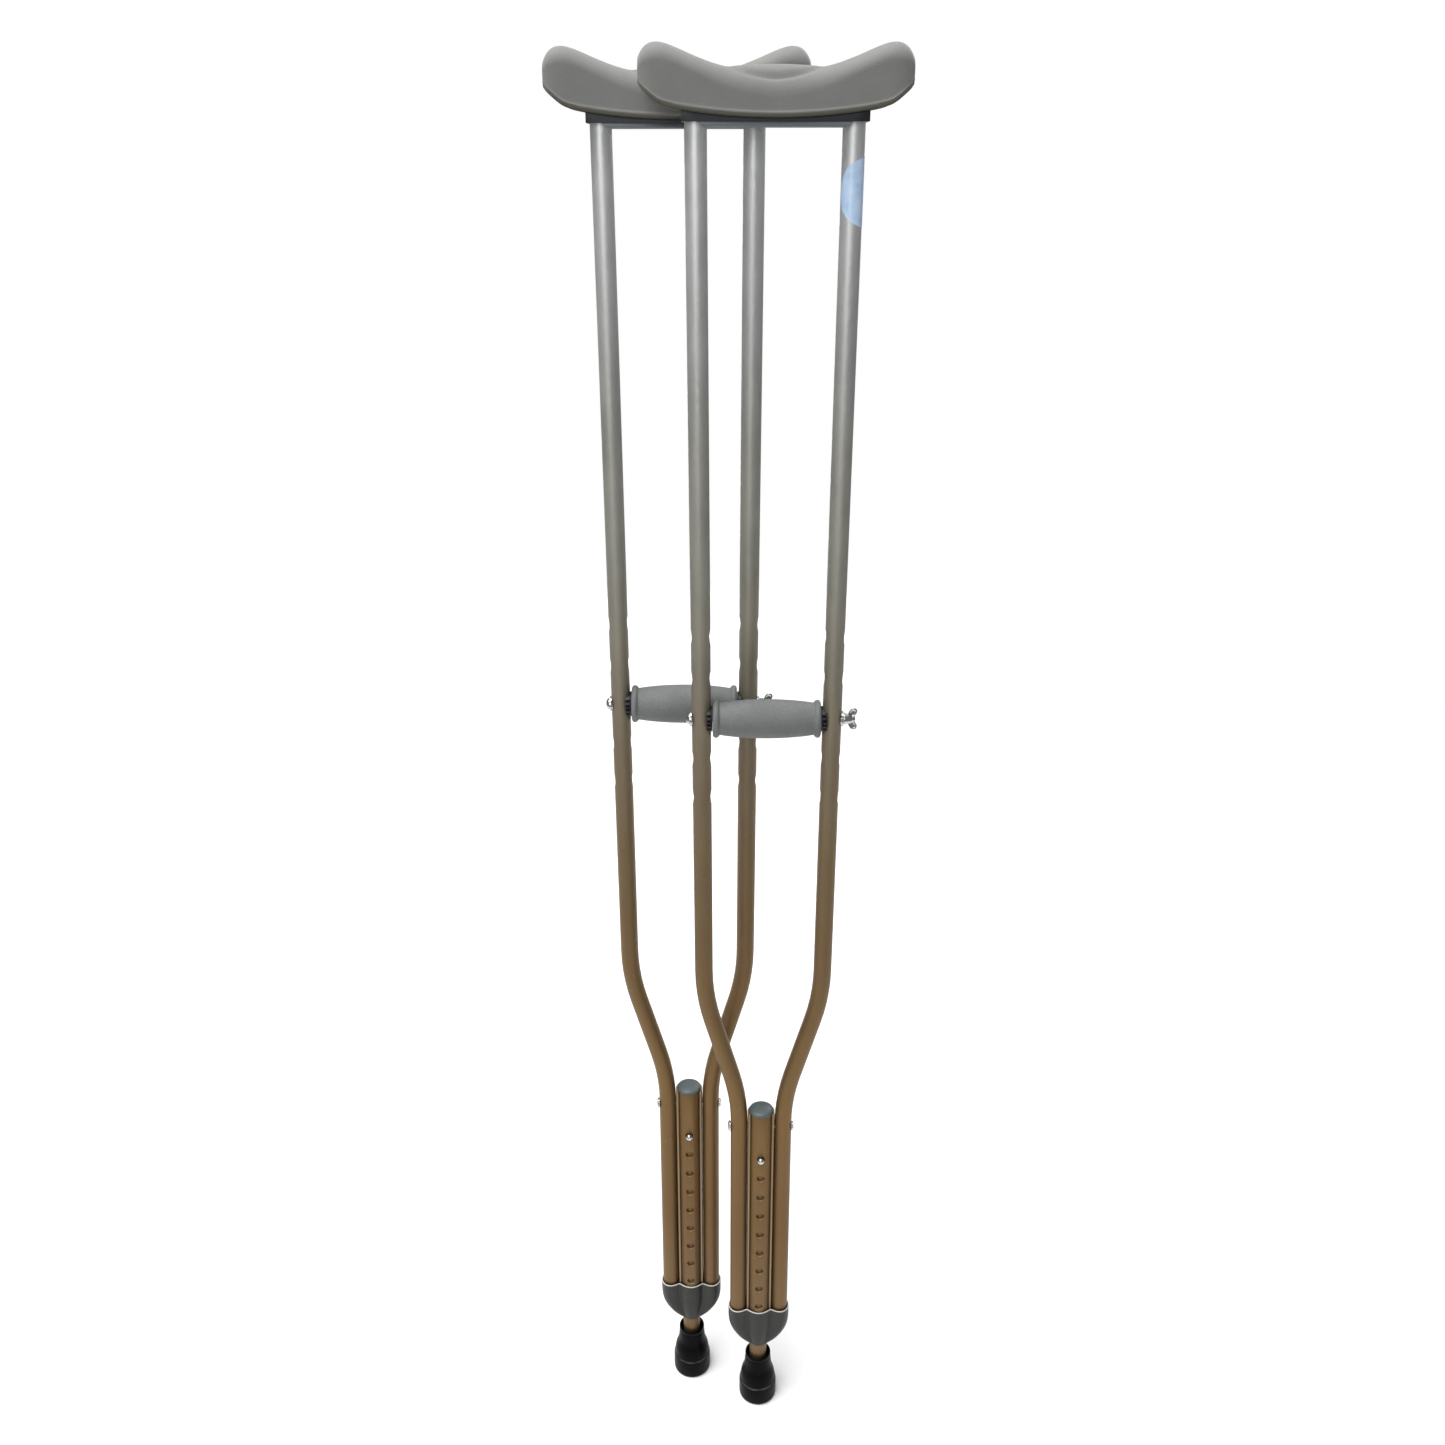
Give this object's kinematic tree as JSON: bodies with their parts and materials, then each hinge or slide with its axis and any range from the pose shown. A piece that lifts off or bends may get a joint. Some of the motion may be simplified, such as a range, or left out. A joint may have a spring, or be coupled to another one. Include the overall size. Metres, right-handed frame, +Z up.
{
  "type": "underarm crutches",
  "caption": "Pair of height-adjustable aluminium underarm crutches with moulded pads, hand grips, a telescoping leg with snap button, and rubber tips.",
  "frame": {"origin": "on the floor, midway between the two crutches, at the middle of the overall plan", "axes": "+Z up along both legs; +X across the crutches towards the wing nuts; -Y to the front, the side with the snap buttons"},
  "size_m": [0.309, 0.0853, 1.503],
  "materials": {
    "pad_foam": "soft matte",
    "saddle_plastic": "satin",
    "black_plastic": "satin",
    "slate_plastic": "satin",
    "collar_plastic": "satin",
    "aluminium_tube": "satin anodised",
    "grip_rubber": "fine texture",
    "tip_rubber": "semi-gloss",
    "steel": "bright",
    "label_film": "printed film, blank"
  },
  "bodies": {
    "front_leg": {"front_leg_tube": "aluminium_tube", "front_leg_top_plug": "black_plastic", "front_snap_spring": "steel", "front_rubber_tip": "tip_rubber", "front_tip_washer": "steel"},
    "front_button": {"front_snap_button": "steel"},
    "front_frame": {"front_underarm_pad": "pad_foam", "front_pad_saddle": "saddle_plastic", "front_saddle_pins": "steel", "front_left_side_tube": "aluminium_tube", "front_right_side_tube": "aluminium_tube", "front_left_grip_ferrule": "black_plastic", "front_right_grip_ferrule": "black_plastic", "front_grip_bolt": "steel", "front_grip_washers": "steel", "front_centre_extrusion": "aluminium_tube", "front_extrusion_cap": "slate_plastic", "front_frame_bolt": "steel", "front_frame_washers": "steel", "front_frame_nut": "steel", "front_bottom_collar": "collar_plastic", "front_leg_guide_bush": "black_plastic", "front_round_label": "label_film"},
    "front_grip": {"front_grip_sleeve": "grip_rubber", "front_grip_core": "saddle_plastic"},
    "front_wing_nut": {"front_wing_nut": "steel"},
    "rear_leg": {"rear_leg_tube": "aluminium_tube", "rear_leg_top_plug": "black_plastic", "rear_snap_spring": "steel", "rear_rubber_tip": "tip_rubber", "rear_tip_washer": "steel"},
    "rear_button": {"rear_snap_button": "steel"},
    "rear_frame": {"rear_underarm_pad": "pad_foam", "rear_pad_saddle": "saddle_plastic", "rear_saddle_pins": "steel", "rear_left_side_tube": "aluminium_tube", "rear_right_side_tube": "aluminium_tube", "rear_left_grip_ferrule": "black_plastic", "rear_right_grip_ferrule": "black_plastic", "rear_grip_bolt": "steel", "rear_grip_washers": "steel", "rear_centre_extrusion": "aluminium_tube", "rear_extrusion_cap": "slate_plastic", "rear_frame_bolt": "steel", "rear_frame_washers": "steel", "rear_frame_nut": "steel", "rear_bottom_collar": "collar_plastic", "rear_leg_guide_bush": "black_plastic"},
    "rear_grip": {"rear_grip_sleeve": "grip_rubber", "rear_grip_core": "saddle_plastic"},
    "rear_wing_nut": {"rear_wing_nut": "steel"}
  },
  "joints": [
    {"name": "front_height_slide", "type": "slide", "parent": "front_leg", "child": "front_frame", "axis": [0, 0, 1], "range_m": [0, 0.2208], "deforming": ["front_snap_spring", "front_snap_button"]},
    {"name": "front_button_press", "type": "slide", "parent": "front_leg", "child": "front_button", "axis": [0, 1, 0], "range_m": [0, 0.0055], "stiffness_N_per_m": 1600},
    {"name": "front_grip_turn", "type": "hinge", "parent": "front_frame", "child": "front_grip", "pos_m": [0.041, -0.02, 0.907], "axis": [1, 0, 0], "range_deg": [-180, 180]},
    {"name": "front_wing_nut_turn", "type": "hinge", "parent": "front_frame", "child": "front_wing_nut", "pos_m": [0.121, -0.02, 0.907], "axis": [1, 0, 0], "continuous": true},
    {"name": "rear_height_slide", "type": "slide", "parent": "rear_leg", "child": "rear_frame", "axis": [0, 0, 1], "range_m": [0, 0.2208], "deforming": ["rear_snap_spring", "rear_snap_button"]},
    {"name": "rear_button_press", "type": "slide", "parent": "rear_leg", "child": "rear_button", "axis": [0, 1, 0], "range_m": [0, 0.0055], "stiffness_N_per_m": 1600},
    {"name": "rear_grip_turn", "type": "hinge", "parent": "rear_frame", "child": "rear_grip", "pos_m": [-0.041, 0.02, 0.907], "axis": [1, 0, 0], "range_deg": [-180, 180]},
    {"name": "rear_wing_nut_turn", "type": "hinge", "parent": "rear_frame", "child": "rear_wing_nut", "pos_m": [0.039, 0.02, 0.907], "axis": [1, 0, 0], "continuous": true},
    {"name": "rear_crutch_apart", "type": "slide", "parent": "front_leg", "child": "rear_leg", "axis": [-1, 0, 0], "range_m": [0, 0.45]}
  ]
}
